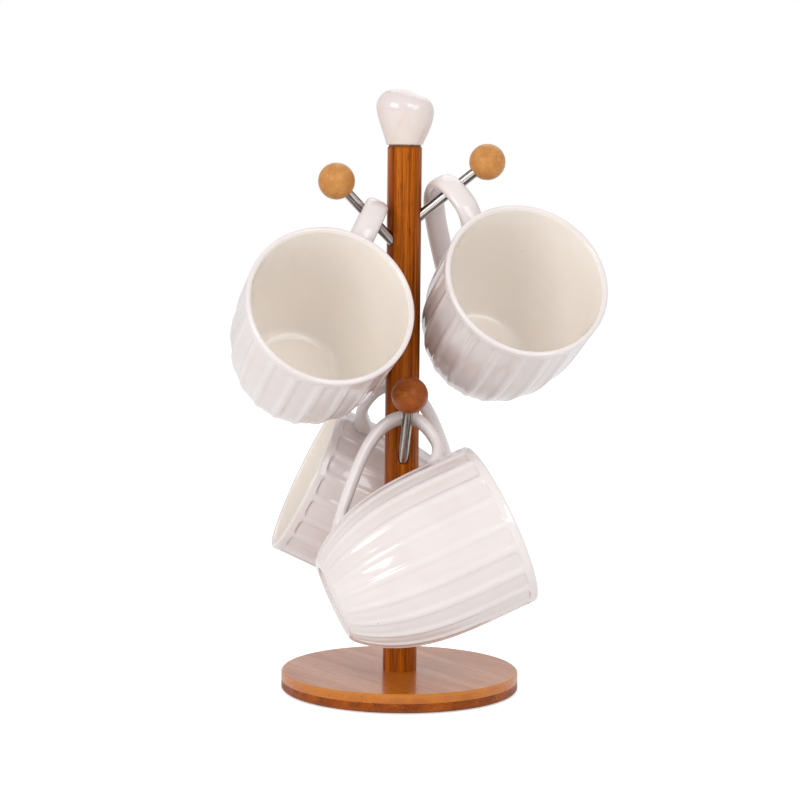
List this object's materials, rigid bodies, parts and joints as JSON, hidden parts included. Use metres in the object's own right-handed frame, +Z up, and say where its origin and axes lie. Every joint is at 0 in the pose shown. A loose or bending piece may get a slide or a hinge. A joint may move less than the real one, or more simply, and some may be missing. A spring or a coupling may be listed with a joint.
{
  "type": "mug tree",
  "caption": "Freestanding mug tree: a bamboo post on a round base, a ceramic heart finial, and steel arms with wooden ball ends, each holding a fluted mug by its handle.",
  "frame": {"origin": "on the underside of the base, on the post's axis, which is the centre of the anti-slip pad's face", "axes": "+Z up along the post; -Y towards the viewer in the reference view, +X to the right"},
  "size_m": [0.216, 0.2095, 0.3521],
  "materials": {
    "bamboo": "satin lacquered, caramel bamboo with straight fibre",
    "bamboo_dark": "satin lacquered, end-grain bamboo edge",
    "ball_wood": "satin turned wood with small flecks",
    "dowel": "raw",
    "cork": "matt pressed cork",
    "rod_steel": "polished",
    "screw_steel": "zinc plated",
    "glaze": "gloss warm white glaze",
    "pad": "matt foam rubber"
  },
  "bodies": {
    "tree": {"anti_slip_pad": "pad", "base_lower_ply": "bamboo_dark", "base_upper_ply": "bamboo", "post": "bamboo", "post_screw": "screw_steel", "finial": "glaze", "finial_dowel": "dowel", "finial_washer": "cork", "arm_rod_upper_left": "rod_steel", "arm_rod_upper_right": "rod_steel", "arm_rod_lower_front": "rod_steel", "arm_rod_lower_back": "rod_steel", "arm_ball_upper_left": "ball_wood", "arm_ball_upper_right": "ball_wood", "arm_ball_lower_front": "ball_wood", "arm_ball_lower_back": "ball_wood"},
    "mug_upper_left": {"mug_upper_left": "glaze"},
    "mug_upper_right": {"mug_upper_right": "glaze"},
    "mug_lower_front": {"mug_lower_front": "glaze"},
    "mug_lower_back": {"mug_lower_back": "glaze"}
  },
  "joints": [
    {"name": "lift_mug_upper_left", "type": "slide", "parent": "tree", "child": "mug_upper_left", "axis": [-0.2891, -0.4341, 0.8532], "range_m": [0, 0.052]},
    {"name": "lift_mug_upper_right", "type": "slide", "parent": "tree", "child": "mug_upper_right", "axis": [0.4751, -0.2481, 0.8442], "range_m": [0, 0.052]},
    {"name": "lift_mug_lower_front", "type": "slide", "parent": "tree", "child": "mug_lower_front", "axis": [0.2531, -0.2821, 0.9254], "range_m": [0, 0.031]},
    {"name": "lift_mug_lower_back", "type": "slide", "parent": "tree", "child": "mug_lower_back", "axis": [-0.2989, 0.4399, 0.8468], "range_m": [0, 0.048]}
  ]
}
